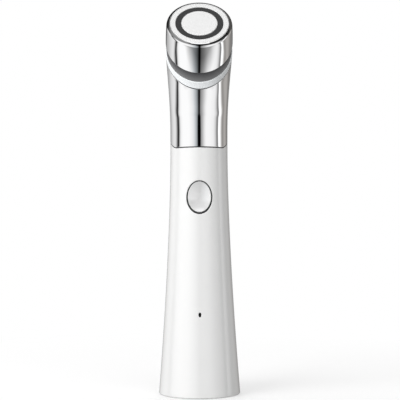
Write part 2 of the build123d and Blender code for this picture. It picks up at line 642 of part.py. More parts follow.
# Head: polished shell with a rounded rim, cut off at a slant behind
with BuildPart() as head_shell:
    with BuildSketch(face_plane(HEAD_DEPTH)):
        Circle(HEAD_REAR_RADIUS)
    with BuildSketch(face_plane()):
        Circle(HEAD_FRONT_RADIUS)
    loft()
    head_axis = Axis(face_plane().origin, face_plane().z_dir)
    fillet(head_shell.faces().sort_by(head_axis)[-1].edges(), RIM_ROUNDING)
    disc(face_plane(HEAD_DEPTH), HEAD_BORE, HEAD_DEPTH - FACE_LIP, Mode.SUBTRACT)
    disc(face_plane(FACE_LIP), FACE_OPENING, FACE_LIP, Mode.SUBTRACT)
    split(bisect_by=parting_plane(HEAD_SEAT), keep=Keep.TOP)
head_shell.part.label = "head_shell"
export_step(head_shell.part, "parts/head_shell.step")

OUTER_ELECTRODE_EDGE = 0.12
CENTRE_ELECTRODE_EDGE = 0.2
with BuildPart() as outer_electrode:
    disc(face_plane(ELECTRODE_THICKNESS), OUTER_ELECTRODE_RADIUS, ELECTRODE_THICKNESS)
    disc(face_plane(ELECTRODE_THICKNESS), INSULATOR_RADIUS, ELECTRODE_THICKNESS, Mode.SUBTRACT)
    fillet(outer_electrode.faces().sort_by(head_axis)[-1].edges(), OUTER_ELECTRODE_EDGE)
outer_electrode.part.label = "outer_electrode"
export_step(outer_electrode.part, "parts/outer_electrode.step")

with BuildPart() as insulator_ring:
    insulator_thickness = ELECTRODE_THICKNESS - INSULATOR_RECESS
    disc(face_plane(ELECTRODE_THICKNESS), INSULATOR_RADIUS - 0.03, insulator_thickness)
    disc(face_plane(ELECTRODE_THICKNESS), CENTRE_RADIUS + 0.03, insulator_thickness, Mode.SUBTRACT)
insulator_ring.part.label = "insulator_ring"
export_step(insulator_ring.part, "parts/insulator_ring.step")

with BuildPart() as centre_electrode:
    disc(face_plane(ELECTRODE_THICKNESS), CENTRE_RADIUS, ELECTRODE_THICKNESS)
    fillet(centre_electrode.faces().sort_by(head_axis)[-1].edges(), CENTRE_ELECTRODE_EDGE)
centre_electrode.part.label = "centre_electrode"
export_step(centre_electrode.part, "parts/centre_electrode.step")

PIN_ANGLES = (90, 210, 330)
SCREW_ANGLES = (30, 150, 270)
LED_ANGLES = (0, 60, 120, 180, 240, 300)
SCREW_CIRCLE = 8.3
HEAD_SCREW_BITE = 1.8
with BuildPart() as electrode_carrier:
    disc(face_plane(CARRIER_BACK), FACE_OPENING - 0.1, CARRIER_BACK - CARRIER_FRONT)
    disc(face_plane(CARRIER_BACK), CARRIER_RADIUS, CARRIER_BACK - FACE_LIP - FIT_GAP)
    disc(face_plane(CARRIER_BACK), PIN_RADIUS + 0.05, CARRIER_BACK, Mode.SUBTRACT)
    for angle in PIN_ANGLES:
        hole = face_point(PIN_CIRCLE, angle, CARRIER_BACK)
        disc(hole, PIN_RADIUS + 0.05, CARRIER_BACK, Mode.SUBTRACT)
    for angle in SCREW_ANGLES:
        disc(face_point(SCREW_CIRCLE, angle, CARRIER_BACK), SCREW_SHAFT, HEAD_SCREW_BITE, Mode.SUBTRACT)
electrode_carrier.part.label = "electrode_carrier"
export_step(electrode_carrier.part, "parts/electrode_carrier.step")

with BuildPart() as contact_pins:
    pin_length = HEAD_BOARD_FRONT - ELECTRODE_THICKNESS
    disc(face_plane(HEAD_BOARD_FRONT), PIN_RADIUS, pin_length)
    for angle in PIN_ANGLES:
        disc(face_point(PIN_CIRCLE, angle, HEAD_BOARD_FRONT), PIN_RADIUS, pin_length)
contact_pins.part.label = "contact_pins"
export_step(contact_pins.part, "parts/contact_pins.step")

head_board_back = HEAD_BOARD_FRONT + HEAD_BOARD_THICKNESS
with BuildPart() as head_board:
    disc(face_plane(head_board_back), HEAD_BOARD_RADIUS, HEAD_BOARD_THICKNESS)
    for angle in SCREW_ANGLES:
        hole = face_point(SCREW_CIRCLE, angle, head_board_back)
        disc(hole, SCREW_SHAFT, HEAD_BOARD_THICKNESS, Mode.SUBTRACT)
head_board.part.label = "head_board"
export_step(head_board.part, "parts/head_board.step")

with BuildPart() as head_leds:
    for angle in LED_ANGLES:
        led_plane = face_point(LED_CIRCLE, angle, head_board_back)
        block(led_plane, LED_SIZE[0], LED_SIZE[1], -LED_SIZE[2])
head_leds.part.label = "head_leds"
export_step(head_leds.part, "parts/head_leds.step")

HEAD_PAN_HEIGHT = 0.7
HEAD_SCREW_LENGTH = 2.3
with BuildPart() as head_screws:
    for angle in SCREW_ANGLES:
        seat = face_point(SCREW_CIRCLE, angle, head_board_back)
        disc(seat, SCREW_HEAD, -HEAD_PAN_HEIGHT)
        disc(seat, SCREW_SHAFT - 0.1, HEAD_SCREW_LENGTH)
        block(seat.offset(-HEAD_PAN_HEIGHT), PAN_SLOT_LENGTH, SLOT_WIDTH, SLOT_DEPTH, Mode.SUBTRACT)
head_screws.part.label = "head_screws"
export_step(head_screws.part, "parts/head_screws.step")

# Flat cable down the neck, on the button's side of the centreline, with its two connectors
CABLE_OFFSET = 4.4
CABLE_WIDTH = 6.0
CABLE_THICKNESS = 0.3
CONNECTOR_WIDTH = 7.5
CONNECTOR_THICKNESS = 1.9
CONNECTOR_LENGTH = 2.6
CABLE_GRIP = 1.5
CABLE_MARGIN = 1.0
cable_low = BOARD_TOP - CABLE_GRIP - CABLE_MARGIN
cable_high = head_board_back + CONNECTOR_LENGTH - CABLE_GRIP
cable_spot = (0, -CABLE_OFFSET, 0)
with BuildPart() as head_cable:
    with BuildLine():
        bend_low = section_plane(BEND_START).from_local_coords(cable_spot)
        bend_middle = section_plane((BEND_START + BEND_END) / 2).from_local_coords(cable_spot)
        bend_high = section_plane(BEND_END).from_local_coords(cable_spot)
        Line((0, -CABLE_OFFSET, cable_low), bend_low)
        ThreePointArc(bend_low, bend_middle, bend_high)
        Line(bend_high, face_plane(cable_high).from_local_coords(cable_spot))
    with BuildSketch(level_plane(0, -CABLE_OFFSET, cable_low)):
        Rectangle(CABLE_WIDTH, CABLE_THICKNESS)
    sweep()
head_cable.part.label = "head_cable"
export_step(head_cable.part, "parts/head_cable.step")

with BuildPart() as cable_connectors:
    slot_width = CABLE_WIDTH + 0.1
    slot_thickness = CABLE_THICKNESS + 0.1
    board_back_y = BOARD_FRONT + BOARD_THICKNESS
    lower = front_plane(board_back_y, cable_low + CABLE_GRIP - CONNECTOR_LENGTH / 2)
    block(lower, CONNECTOR_WIDTH, CONNECTOR_LENGTH, -CONNECTOR_THICKNESS)
    entry = level_plane(0, -CABLE_OFFSET, cable_low)
    block(entry, slot_width, slot_thickness, CONNECTOR_LENGTH, Mode.SUBTRACT)
    upper = Plane(
        origin=face_plane(head_board_back).from_local_coords(cable_spot),
        x_dir=face_plane().x_dir,
        z_dir=face_plane().z_dir,
    )
    block(upper, CONNECTOR_WIDTH, CONNECTOR_THICKNESS, -CONNECTOR_LENGTH)
    grip = upper.offset(-CONNECTOR_LENGTH)
    block(grip, slot_width, slot_thickness, CABLE_GRIP, Mode.SUBTRACT)
cable_connectors.part.label = "cable_connectors"
export_step(cable_connectors.part, "parts/cable_connectors.step")
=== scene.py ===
from math import atan2, cos, pi, radians, sin, sqrt

import bmesh
import bpy
from mathutils import Matrix, Vector


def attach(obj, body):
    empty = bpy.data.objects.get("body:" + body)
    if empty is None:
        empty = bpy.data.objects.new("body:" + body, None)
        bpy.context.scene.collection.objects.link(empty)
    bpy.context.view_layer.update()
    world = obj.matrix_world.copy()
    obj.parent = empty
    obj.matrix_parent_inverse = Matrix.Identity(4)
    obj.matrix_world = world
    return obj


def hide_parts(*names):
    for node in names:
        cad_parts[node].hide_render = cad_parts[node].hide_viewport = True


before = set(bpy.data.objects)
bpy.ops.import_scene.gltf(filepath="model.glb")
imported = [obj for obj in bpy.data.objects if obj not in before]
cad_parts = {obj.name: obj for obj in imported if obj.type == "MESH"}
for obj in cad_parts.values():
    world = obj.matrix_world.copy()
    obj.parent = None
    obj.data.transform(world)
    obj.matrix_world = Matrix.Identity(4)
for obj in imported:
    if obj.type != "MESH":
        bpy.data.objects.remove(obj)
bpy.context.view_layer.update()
scene = bpy.context.scene

# Shapes are worked out in millimetres and degrees, and become metres in make_piece.
# The base stands on z = 0, the button faces -Y, and a station is a distance along the
# centreline, measured up from the base.
MM = 0.001

# Outline of the grip and the neck
BASE_RADIUS = 17.05
WAIST_RADIUS = 11.98
GRIP_LENGTH = 100.0
GRIP_POWER = 1.58
FLARE_START = 109.0
FLARE_END = 153.0
NECK_TOP_RADIUS = 13.75
NECK_END = 162.0
BEND_START = 115.0
BEND_RADIUS = 35.0
HEAD_ANGLE = 52.2
BEND_END = BEND_START + BEND_RADIUS * radians(HEAD_ANGLE)

# Slanted planes across the top of the neck, by distance from the end of the bend
PARTING_ANGLE = 69.4
HEAD_SEAT = 2.8
GROOVE_SEAT = -1.6
SLEEVE_END = -4.3
LINE_GAP = 0.3

# Seam between the grip and the polished sleeve, seen from the side
SEAM_HEIGHT = 102.15
SEAM_TURN = -7.2
SEAM_ARC = 2.0
SEAM_SLOPE = 24.0
SEAM_GAP = 0.42
SEAM_LOWEST_STATION = 95.0

# Walls, as depths under the outline
SHELL_WALL = 1.6
SLEEVE_WALL = 0.85
LINER_STEP = 99.0
RING_INNER = 1.35
GROOVE_DEPTH = 0.3
LINE_DEPTH = 0.1

# Head, measured from its face
FACE_DISTANCE = 13.05
HEAD_FLARE = 0.066
HEAD_DOME = 0.0028
HEAD_DEEPEST_EDGE = 32.0
HEAD_WALL = 1.05
HEAD_BORE = 12.5
FACE_OPENING = 11.8
FACE_LIP = 2.0
FACE_BEVEL = 0.06
RIM_START = 11.8
# Turn at which each part of the rim ends, and its radius of rounding
RIM_BENDS = ((radians(8), 2.0), (radians(22), 0.15), (radians(40), 2.8), (radians(60), 0.2),
             (atan2(1, HEAD_FLARE), 1.95))

# Electrodes and the ring between them
OUTER_ELECTRODE_RADIUS = 11.7
INSULATOR_RADIUS = 9.55
CENTRE_RADIUS = 7.2
CENTRE_RINGS = (1.5, 3.5, 5.5, 6.7)
ELECTRODE_THICKNESS = 0.8
ELECTRODE_BORDER = 0.4
INSULATOR_RECESS = 0.2
INSULATOR_SLIT = 0.03
INSULATOR_BEVEL = 0.03

# Grip details
BASE_LIP = 3.0
BASE_OPENING = 14.3
BASE_BEVEL = 0.15
BUTTON_HEIGHT = 81.8
BUTTON_OPENING = (5.35, 6.9)
LENS_HEIGHT = 33.9
LENS_OPENING = (0.6, 1.0)

# Roundings of the edges
BASE_ROUNDING = 0.7
SEAM_ROUNDING = 0.12
OPENING_ROUNDING = 0.25
LENS_ROUNDING = 0.08
SLEEVE_ROUNDING = 0.1
BAND_ROUNDING = 0.15
LINE_ROUNDING = 0.02
GROOVE_ROUNDING = 0.05
HEAD_ROUNDING = 0.1
ELECTRODE_ROUNDING = 0.18
CENTRE_ROUNDING = 0.22

# Fineness of the meshes: columns round a full turn, steps over roundings, rows between
# edges, and the distance from a rounding to the next row
COLUMNS = 192
EDGE_STEPS = 4
BASE_STEPS = 8
RIM_STEPS = 8
CROWN_ROWS = 14
LINING_ROWS = 4
BORE_ROWS = 4
HEAD_ROWS = 20
SUPPORT = 0.04
# Angle in degrees from which an edge counts as sharp
SHARP_ANGLE = 35
# Halvings in the search for the place where two surfaces cross
HALVINGS = 40
# The straight grip has a row of faces at each millimetre between these heights
GRID_BOTTOM = 2
GRID_TOP = 92
# Gaps in its grid round the two openings: lowest row, highest row, half width in columns
BUTTON_GAP = (72.0, 91.0, 20)
LENS_GAP = (31.0, 37.0, 4)
# Shares of the way from the edge of a gap to its opening
PATCH_SHARES = (0.3, 0.55, 0.75, 0.9, 1.0)


def body_radius(station):
    """Outer radius of the grip and the neck."""
    if station < GRIP_LENGTH:
        narrowing = (1 - station / GRIP_LENGTH) ** GRIP_POWER
        return WAIST_RADIUS + (BASE_RADIUS - WAIST_RADIUS) * narrowing
    share = (station - FLARE_START) / (FLARE_END - FLARE_START)
    widening = sin(radians(90 * min(1.0, max(0.0, share)))) ** 2
    return WAIST_RADIUS + (NECK_TOP_RADIUS - WAIST_RADIUS) * widening


def centreline(station):
    """Point on the centreline, its direction, and the direction square to it at the back."""
    turn = min(radians(HEAD_ANGLE), max(0.0, (station - BEND_START) / BEND_RADIUS))
    direction = Vector((0, -sin(turn), cos(turn)))
    level = min(station, BEND_START)
    point = Vector((0, -BEND_RADIUS * (1 - cos(turn)), level + BEND_RADIUS * sin(turn)))
    point += direction * max(0.0, station - BEND_END)
    return point, direction, Vector((0, cos(turn), sin(turn)))


def skin_point(angle, station, depth):
    """Point at a depth under the outline; angle 0 is the front, and it grows towards +X."""
    point, _, back = centreline(station)
    radius = body_radius(station) - depth
    return point + Vector((sin(angle), 0, 0)) * radius - back * (cos(angle) * radius)


def front_point(x, height, depth):
    """Point on the front of the straight grip, by its place seen from the front."""
    radius = body_radius(height) - depth
    return Vector((x, -sqrt(radius * radius - x * x), height))


FACE_CENTRE, HEAD_AXIS, HEAD_BACK = centreline(BEND_END + FACE_DISTANCE)
PARTING_NORMAL = Vector((0, -sin(radians(PARTING_ANGLE)), cos(radians(PARTING_ANGLE))))
PARTING_ORIGIN = centreline(BEND_END)[0]


def head_point(angle, radius, depth):
    """Point about the head's axis, at a depth behind its face."""
    across = Vector((sin(angle), 0, 0)) - HEAD_BACK * cos(angle)
    return FACE_CENTRE + across * radius - HEAD_AXIS * depth


def seam_level(y):
    """Height of the seam, which is level in front and climbs to the back."""
    along = y - SEAM_TURN
    slope = radians(SEAM_SLOPE)
    if along <= 0:
        return SEAM_HEIGHT
    if along < SEAM_ARC * sin(slope):
        return SEAM_HEIGHT + SEAM_ARC - sqrt(SEAM_ARC ** 2 - along ** 2)
    rise = SEAM_ARC * (1 - cos(slope))
    return SEAM_HEIGHT + rise + (along - SEAM_ARC * sin(slope)) * sin(slope) / cos(slope)


def crossing(height_above, low, high):
    """Where a rising function passes zero."""
    for _ in range(HALVINGS):
        middle = (low + high) / 2
        if height_above(middle) < 0:
            low = middle
        else:
            high = middle
    return (low + high) / 2


def seam(lift):
    """Edge along the seam: the station for an angle and a depth."""
    def station(angle, depth):
        def height_above(value):
            point = skin_point(angle, value, depth)
            return point.z - seam_level(point.y) - lift
        return crossing(height_above, SEAM_LOWEST_STATION, FLARE_END)
    return station


def parting(distance):
    """Edge along a slanted plane: the station for an angle and a depth."""
    def station(angle, depth):
        def height_above(value):
            point = skin_point(angle, value, depth)
            return (point - PARTING_ORIGIN).dot(PARTING_NORMAL) - distance
        return crossing(height_above, BEND_START, NECK_END)
    return station


def quarter(rounding, steps=EDGE_STEPS):
    """Quarter round as pairs: how far short of the edge, and how deep."""
    turns = [radians(90 * step / steps) for step in range(steps + 1)]
    return [(rounding * (1 - sin(turn)), rounding * (1 - cos(turn))) for turn in turns]


def spread(first, last, steps):
    """Evenly spaced values from first to last."""
    return [first + (last - first) * step / steps for step in range(steps + 1)]


class Weave:
    """Points and faces of one mesh, joined ring by ring."""

    def __init__(self):
        self.points = []
        self.faces = []

    def ring(self, points):
        first = len(self.points)
        self.points.extend(points)
        return list(range(first, len(self.points)))

    def turn(self, place):
        """Ring of the points that a function gives for the angles of a full turn."""
        return self.ring([place(2 * pi * column / COLUMNS) for column in range(COLUMNS)])

    def bridge(self, lower, upper, skipped=()):
        """Joins two rings with faces, except at the columns that are skipped."""
        count = len(lower)
        for i in range(count):
            j = (i + 1) % count
            if i not in skipped:
                self.faces.append((lower[i], lower[j], upper[j], upper[i]))

    def chain(self, rings, closed=False):
        """Joins rings in order; closed joins the last to the first."""
        for lower, upper in zip(rings, rings[1:]):
            self.bridge(lower, upper)
        if closed:
            self.bridge(rings[-1], rings[0])

    def cap(self, ring, centre):
        """Closes a ring with triangles to a middle point."""
        middle = self.ring([centre])[0]
        for i in range(len(ring)):
            self.faces.append((ring[i], ring[(i + 1) % len(ring)], middle))


def make_piece(name, weave, body, slot, *nodes):
    """Turns a weave into a piece that rides on a body and stands for its nodes."""
    mesh = bpy.data.meshes.new(name)
    mesh.from_pydata([point * MM for point in weave.points], [], weave.faces)
    work = bmesh.new()
    work.from_mesh(mesh)
    bmesh.ops.recalc_face_normals(work, faces=work.faces)
    work.to_mesh(mesh)
    work.free()
    mesh.shade_smooth()
    mesh.set_sharp_from_angle(angle=radians(SHARP_ANGLE))
    piece = bpy.data.objects.new(name, mesh)
    scene.collection.objects.link(piece)
    mesh.materials.append(finish(slot))
    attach(piece, body)
    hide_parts(*nodes)
    return piece


# Building blocks of the materials

def new_material(name):
    """A new material that is made of nodes, and these nodes."""
    material = bpy.data.materials.new(name)
    material.use_nodes = True
    return material, material.node_tree.nodes


def join(nodes, source, target):
    nodes.id_data.links.new(source, target)


def socket(shader, name, value):
    shader.inputs[name].default_value = value


def texture_place(nodes):
    return nodes.new("ShaderNodeTexCoord").outputs["Object"]


def split(nodes, vector):
    """The three parts of a vector."""
    node = nodes.new("ShaderNodeSeparateXYZ")
    join(nodes, vector, node.inputs[0])
    return node.outputs["X"], node.outputs["Y"], node.outputs["Z"]


def calculate(nodes, operation, first, second=0):
    """Result of a math operation on two inputs, each a socket or a number."""
    node = nodes.new("ShaderNodeMath")
    node.operation = operation
    for place, value in zip(node.inputs, (first, second)):
        if isinstance(value, (int, float)):
            place.default_value = value
        else:
            join(nodes, value, place)
    return node.outputs[0]


def times(nodes, first, *others):
    """Product of several inputs."""
    for other in others:
        first = calculate(nodes, "MULTIPLY", first, other)
    return first


def noise(nodes, size, detail=3.0):
    """Cloudy values over the surface, with spots of about the given size in millimetres."""
    node = nodes.new("ShaderNodeTexNoise")
    socket(node, "Scale", 1 / (size * MM))
    socket(node, "Detail", detail)
    join(nodes, texture_place(nodes), node.inputs["Vector"])
    return node.outputs["Fac"]


def remap(nodes, source, low, high, start=0.3, end=0.7):
    """Goes from low to high while the source goes from start to end."""
    node = nodes.new("ShaderNodeMapRange")
    socket(node, "From Min", start)
    socket(node, "From Max", end)
    socket(node, "To Min", low)
    socket(node, "To Max", high)
    join(nodes, source, node.inputs["Value"])
    return node.outputs["Result"]


def ramp(nodes, source, stops, low, high):
    """Colour ramp over a source's values from low to high, by pairs of value and level.

    A level is a grey or a colour.
    """
    node = nodes.new("ShaderNodeValToRGB")
    join(nodes, remap(nodes, source, 0, 1, low, high), node.inputs["Fac"])
    elements = node.color_ramp.elements
    while len(elements) < len(stops):
        elements.new(0.5)
    for element, (value, level) in zip(elements, stops):
        element.position = (value - low) / (high - low)
        element.color = (*level, 1) if isinstance(level, tuple) else (level, level, level, 1)
    return node.outputs["Color"]


def angle_ramp(nodes, angle, stops):
    """Colour ramp over a full turn, by pairs of degrees and level."""
    return ramp(nodes, angle, [(radians(place), level) for place, level in stops], -pi, pi)


def mix_colours(nodes, factor, first, second):
    node = nodes.new("ShaderNodeMix")
    node.data_type = "RGBA"
    socket(node, "A", (*first, 1))
    socket(node, "B", (*second, 1))
    join(nodes, factor, node.inputs["Factor"])
    return node.outputs["Result"]


def mix_shaders(nodes, factor, first, second):
    node = nodes.new("ShaderNodeMixShader")
    for place, value in zip(node.inputs, (factor, first, second)):
        join(nodes, value, place)
    return node.outputs[0]


def relief(nodes, shader, heights, depth):
    """Bumps up to a depth in millimetres."""
    bump = nodes.new("ShaderNodeBump")
    socket(bump, "Distance", depth * MM)
    join(nodes, heights, bump.inputs["Height"])
    join(nodes, bump.outputs["Normal"], shader.inputs["Normal"])


def light_path(nodes, *kinds):
    """1 for any of the kinds of ray, else 0."""
    path = nodes.new("ShaderNodeLightPath")
    total = path.outputs[kinds[0]]
    for kind in kinds[1:]:
        total = calculate(nodes, "MAXIMUM", total, path.outputs[kind])
    return total


# Finishes

# Size of the smears in the gloss, as a share of the size of the mottle
SMEAR_SHARE = 0.6


def surface(name, colour, roughness, metallic=0.0, mottle=0.03, mottle_size=4.0,
            gloss_spread=0.04, grain=0.4, height=0.001):
    """A shader whose colour, gloss and fine relief vary a little over the surface.

    mottle is the share by which the colour varies, grain is the size of the relief and
    height its depth, both in millimetres.
    """
    material, nodes = new_material(name)
    shader = nodes["Principled BSDF"]
    socket(shader, "Metallic", metallic)
    darker = [value * (1 - mottle) for value in colour]
    clouds = remap(nodes, noise(nodes, mottle_size), 0, 1)
    join(nodes, mix_colours(nodes, clouds, colour, darker), shader.inputs["Base Color"])
    smears = noise(nodes, mottle_size * SMEAR_SHARE, detail=5)
    gloss = remap(nodes, smears, roughness, roughness + gloss_spread)
    join(nodes, gloss, shader.inputs["Roughness"])
    relief(nodes, shader, noise(nodes, grain, detail=2), height)
    return material, nodes, shader


# Painted light on the light ring: a glow by its place across, in metres, brightest on the left
# where the key lamp falls and fading to the right
BAND_PAINTED_GLOW = (
    (-0.013, 0.24), (-0.004, 0.19), (0.003, 0.17), (0.0058, 0.10), (0.0075, 0.03),
    (0.013, 0.02),
)
PAINTED_GLOW_REACH = 0.02


# Paints light onto the light ring as emission that copies the key lamp's shading from the left
def paint_band_glow(nodes, shader):
    across = split(nodes, texture_place(nodes))[0]
    glow = ramp(nodes, across, BAND_PAINTED_GLOW, -PAINTED_GLOW_REACH, PAINTED_GLOW_REACH)
    join(nodes, glow, shader.inputs["Emission Strength"])


# Painted shade of the groove lining: its colour in the shade under the head's rim, and its
# colour where the light ring lights it
GROOVE_SHADED = (0.065, 0.065, 0.069)
GROOVE_LIT = (0.29, 0.29, 0.295)


def paint_groove_shade(nodes, shader):
    """Groove lining with painted shade: darkest under the head's rim, and painted paler towards
    the light ring as if lit by it.
    """
    across = nodes.new("ShaderNodeVectorMath")
    across.operation = "DOT_PRODUCT"
    join(nodes, texture_place(nodes), across.inputs[0])
    across.inputs[1].default_value = PARTING_NORMAL
    seat = PARTING_ORIGIN.dot(PARTING_NORMAL)
    lit = remap(nodes, across.outputs["Value"], 1, 0,
                (seat + GROOVE_SEAT) * MM, (seat + HEAD_SEAT) * MM)
    shade = mix_colours(nodes, lit, GROOVE_SHADED, GROOVE_LIT)
    join(nodes, shade, shader.inputs["Base Color"])


MASK_GREEN = (0.02, 0.16, 0.07)
MASK_PALE = (0.025, 0.19, 0.085)
TRACK_GREEN = (0.05, 0.3, 0.12)
TRACK_SPACING = 2.4
WIRE_SPACING = 2.2
WIRE_RELIEF = 0.06


def copper_tracks(nodes, shader):
    """Solder mask over fine copper tracks."""
    tracks = nodes.new("ShaderNodeTexBrick")
    socket(tracks, "Scale", 1 / (TRACK_SPACING * MM))
    socket(tracks, "Mortar Size", 0.03)
    for name, colour in (("Color1", MASK_GREEN), ("Color2", MASK_PALE), ("Mortar", TRACK_GREEN)):
        socket(tracks, name, (*colour, 1))
    join(nodes, texture_place(nodes), tracks.inputs["Vector"])
    join(nodes, tracks.outputs["Color"], shader.inputs["Base Color"])


def wire_turns(nodes, shader):
    """Enamelled wire laid in turns."""
    turns = nodes.new("ShaderNodeTexWave")
    turns.bands_direction = "Y"
    socket(turns, "Scale", 1 / (WIRE_SPACING * MM))
    join(nodes, texture_place(nodes), turns.inputs["Vector"])
    relief(nodes, shader, turns.outputs["Fac"], WIRE_RELIEF)


# Finishes of the pieces that show, and of those with a pattern or painted light and shade: the
# values for surface
SHOWN_FINISHES = {
    "grip_plastic": dict(colour=(0.93, 0.93, 0.925), roughness=0.10, mottle=0.012,
                         mottle_size=9, gloss_spread=0.03, grain=0.9, height=0.0012),
    "button_plastic": dict(colour=(0.92, 0.92, 0.92), roughness=0.12, metallic=0.18,
                           mottle=0.015, mottle_size=3, gloss_spread=0.03, grain=0.7,
                           height=0.001),
    "polished_metal": dict(colour=(0.95, 0.95, 0.955), roughness=0.015, metallic=1.0,
                           mottle=0.01, mottle_size=12, gloss_spread=0.02, grain=1.5,
                           height=0.00015),
    "satin_metal": dict(colour=(0.915, 0.915, 0.915), roughness=0.32, metallic=0.3,
                        mottle=0.02, mottle_size=2.5, gloss_spread=0.05, grain=0.12,
                        height=0.0012),
    "light_diffuser": dict(colour=(0.92, 0.945, 0.96), roughness=0.25, mottle=0.01,
                           mottle_size=5, gloss_spread=0.05, grain=0.6, height=0.0005),
    "insulator": dict(colour=(0.035, 0.035, 0.036), roughness=0.42, mottle=0.12,
                      mottle_size=1.5, gloss_spread=0.08, grain=0.18, height=0.003),
    "dark_rubber": dict(colour=(0.07, 0.07, 0.074), roughness=0.5, mottle=0.1,
                        mottle_size=2, gloss_spread=0.1, grain=0.2, height=0.003),
    # Near-black rubber in the seams and round the button: a seal, which also paints the shade of
    # these gaps
    "seal_rubber": dict(colour=(0.025, 0.025, 0.027), roughness=0.55, mottle=0.15,
                        mottle_size=1.2, gloss_spread=0.1, grain=0.15, height=0.004),
    "dark_window": dict(colour=(0.012, 0.012, 0.014), roughness=0.05, mottle=0.2,
                        mottle_size=0.8, gloss_spread=0.04, grain=0.3, height=0.0005),
    "board": dict(colour=MASK_GREEN, roughness=0.3, mottle=0.1, mottle_size=3, grain=0.3,
                  height=0.004),
    "copper": dict(colour=(0.75, 0.33, 0.14), roughness=0.28, metallic=1.0),
    "led": dict(colour=(0.86, 0.84, 0.68), roughness=0.2, mottle=0.1, mottle_size=0.6),
}
# Further shader values of some of them, and their patterns, painted light and painted shade
SHADER_VALUES = {
    "grip_plastic": {"IOR": 1.5, "Coat Weight": 0.6, "Coat Roughness": 0.06},
    # The light ring's emission colour is the colour of its painted glow
    "light_diffuser": {"Subsurface Weight": 0.1, "Subsurface Radius": (1.0, 1.0, 1.0),
                       "Subsurface Scale": 0.001, "Emission Color": (0.95, 0.98, 1.0, 1)},
    "dark_rubber": {"Specular IOR Level": 0.25},
    "dark_window": {"Coat Weight": 0.6, "Coat Roughness": 0.04},
    "led": {"Transmission Weight": 0.2},
}
PATTERNS_AND_PAINTED_LIGHT = {
    "light_diffuser": paint_band_glow,
    "dark_rubber": paint_groove_shade,
    "board": copper_tracks,
    "copper": wire_turns,
}
# Plain finishes of the inner pieces: colour, roughness, metallic
INNER_FINISHES = {
    "foam": ((0.05, 0.05, 0.055), 0.9, 0.0),
    "screw_steel": ((0.62, 0.62, 0.64), 0.25, 1.0),
    "socket_steel": ((0.72, 0.72, 0.73), 0.2, 1.0),
    "chip": ((0.02, 0.02, 0.022), 0.4, 0.0),
    "ferrite": ((0.06, 0.058, 0.06), 0.55, 0.1),
    "switch_plastic": ((0.04, 0.04, 0.04), 0.4, 0.0),
    "frame_plastic": ((0.22, 0.22, 0.23), 0.45, 0.0),
    "liner_plastic": ((0.035, 0.035, 0.037), 0.45, 0.0),
    "cell_wrap": ((0.08, 0.25, 0.55), 0.3, 0.0),
    "tab_nickel": ((0.68, 0.66, 0.6), 0.25, 1.0),
    "motor_steel": ((0.65, 0.65, 0.66), 0.22, 1.0),
    "motor_weight": ((0.42, 0.42, 0.43), 0.35, 1.0),
    "pin_brass": ((0.8, 0.6, 0.25), 0.2, 1.0),
    "flat_cable": ((0.85, 0.5, 0.12), 0.3, 0.0),
    "connector_plastic": ((0.8, 0.78, 0.7), 0.4, 0.0),
}
INNER_TEXTURE = dict(mottle=0.08, mottle_size=2, grain=0.15, height=0.003)
made_finishes = {}


def finish(slot):
    """The material of a slot, made once."""
    if slot not in made_finishes:
        name = slot + "_finish"
        if slot in SHOWN_FINISHES:
            material, nodes, shader = surface(name, **SHOWN_FINISHES[slot])
        else:
            material, nodes, shader = surface(name, *INNER_FINISHES[slot], **INNER_TEXTURE)
        for value_name, value in SHADER_VALUES.get(slot, {}).items():
            socket(shader, value_name, value)
        if slot in PATTERNS_AND_PAINTED_LIGHT:
            PATTERNS_AND_PAINTED_LIGHT[slot](nodes, shader)
        made_finishes[slot] = material
    return made_finishes[slot]


# Pieces with one skin cut by two edges

def make_tube(name, low, high, outer, inner, slot, *nodes, rounding, rows):
    """A bent tube wall between two edges, with rounded outer corners."""
    weave = Weave()
    rings = []
    for short, deep in reversed(quarter(rounding)):
        depth = outer + deep
        rings.append(weave.turn(lambda a: skin_point(a, low(a, depth) + short, depth)))
    for share in spread(0, 1, rows):
        def between(angle):
            first = low(angle, outer) + rounding + SUPPORT
            last = high(angle, outer) - rounding - SUPPORT
            return skin_point(angle, first + (last - first) * share, outer)
        rings.append(weave.turn(between))
    for short, deep in quarter(rounding):
        depth = outer + deep
        rings.append(weave.turn(lambda a: skin_point(a, high(a, depth) - short, depth)))
    for share in spread(1, 0, max(2, rows // 4)):
        def inside(angle):
            first, last = low(angle, inner), high(angle, inner)
            return skin_point(angle, first + (last - first) * share, inner)
        rings.append(weave.turn(inside))
    weave.chain(rings, closed=True)
    make_piece(name, weave, "handle", slot, *nodes)


def make_neck():
    make_tube("polished_sleeve", seam(SEAM_GAP), parting(SLEEVE_END), 0, SLEEVE_WALL,
              "polished_metal", "neck_sleeve", rounding=SLEEVE_ROUNDING, rows=56)
    # The light ring's band, whose glow is painted light
    make_tube("glow_band", parting(SLEEVE_END + LINE_GAP), parting(GROOVE_SEAT), 0, RING_INNER,
              "light_diffuser", "light_ring", rounding=BAND_ROUNDING, rows=8)
    # Dark rubber lines in the two seams: a seal, and also painted shade of the gaps
    make_tube("sleeve_line", seam(0), seam(SEAM_GAP), LINE_DEPTH, SLEEVE_WALL,
              "seal_rubber", "sleeve_gasket", rounding=LINE_ROUNDING, rows=3)
    make_tube("band_line", parting(SLEEVE_END), parting(SLEEVE_END + LINE_GAP), LINE_DEPTH,
              RING_INNER, "seal_rubber", "band_gasket", rounding=LINE_ROUNDING, rows=3)
    # The groove band's colour carries painted shade and painted light from the ring
    make_tube("groove_band", parting(GROOVE_SEAT), parting(HEAD_SEAT), GROOVE_DEPTH, RING_INNER,
              "dark_rubber", "groove_gasket", rounding=GROOVE_ROUNDING, rows=10)


# Grip shell, with its two oval openings

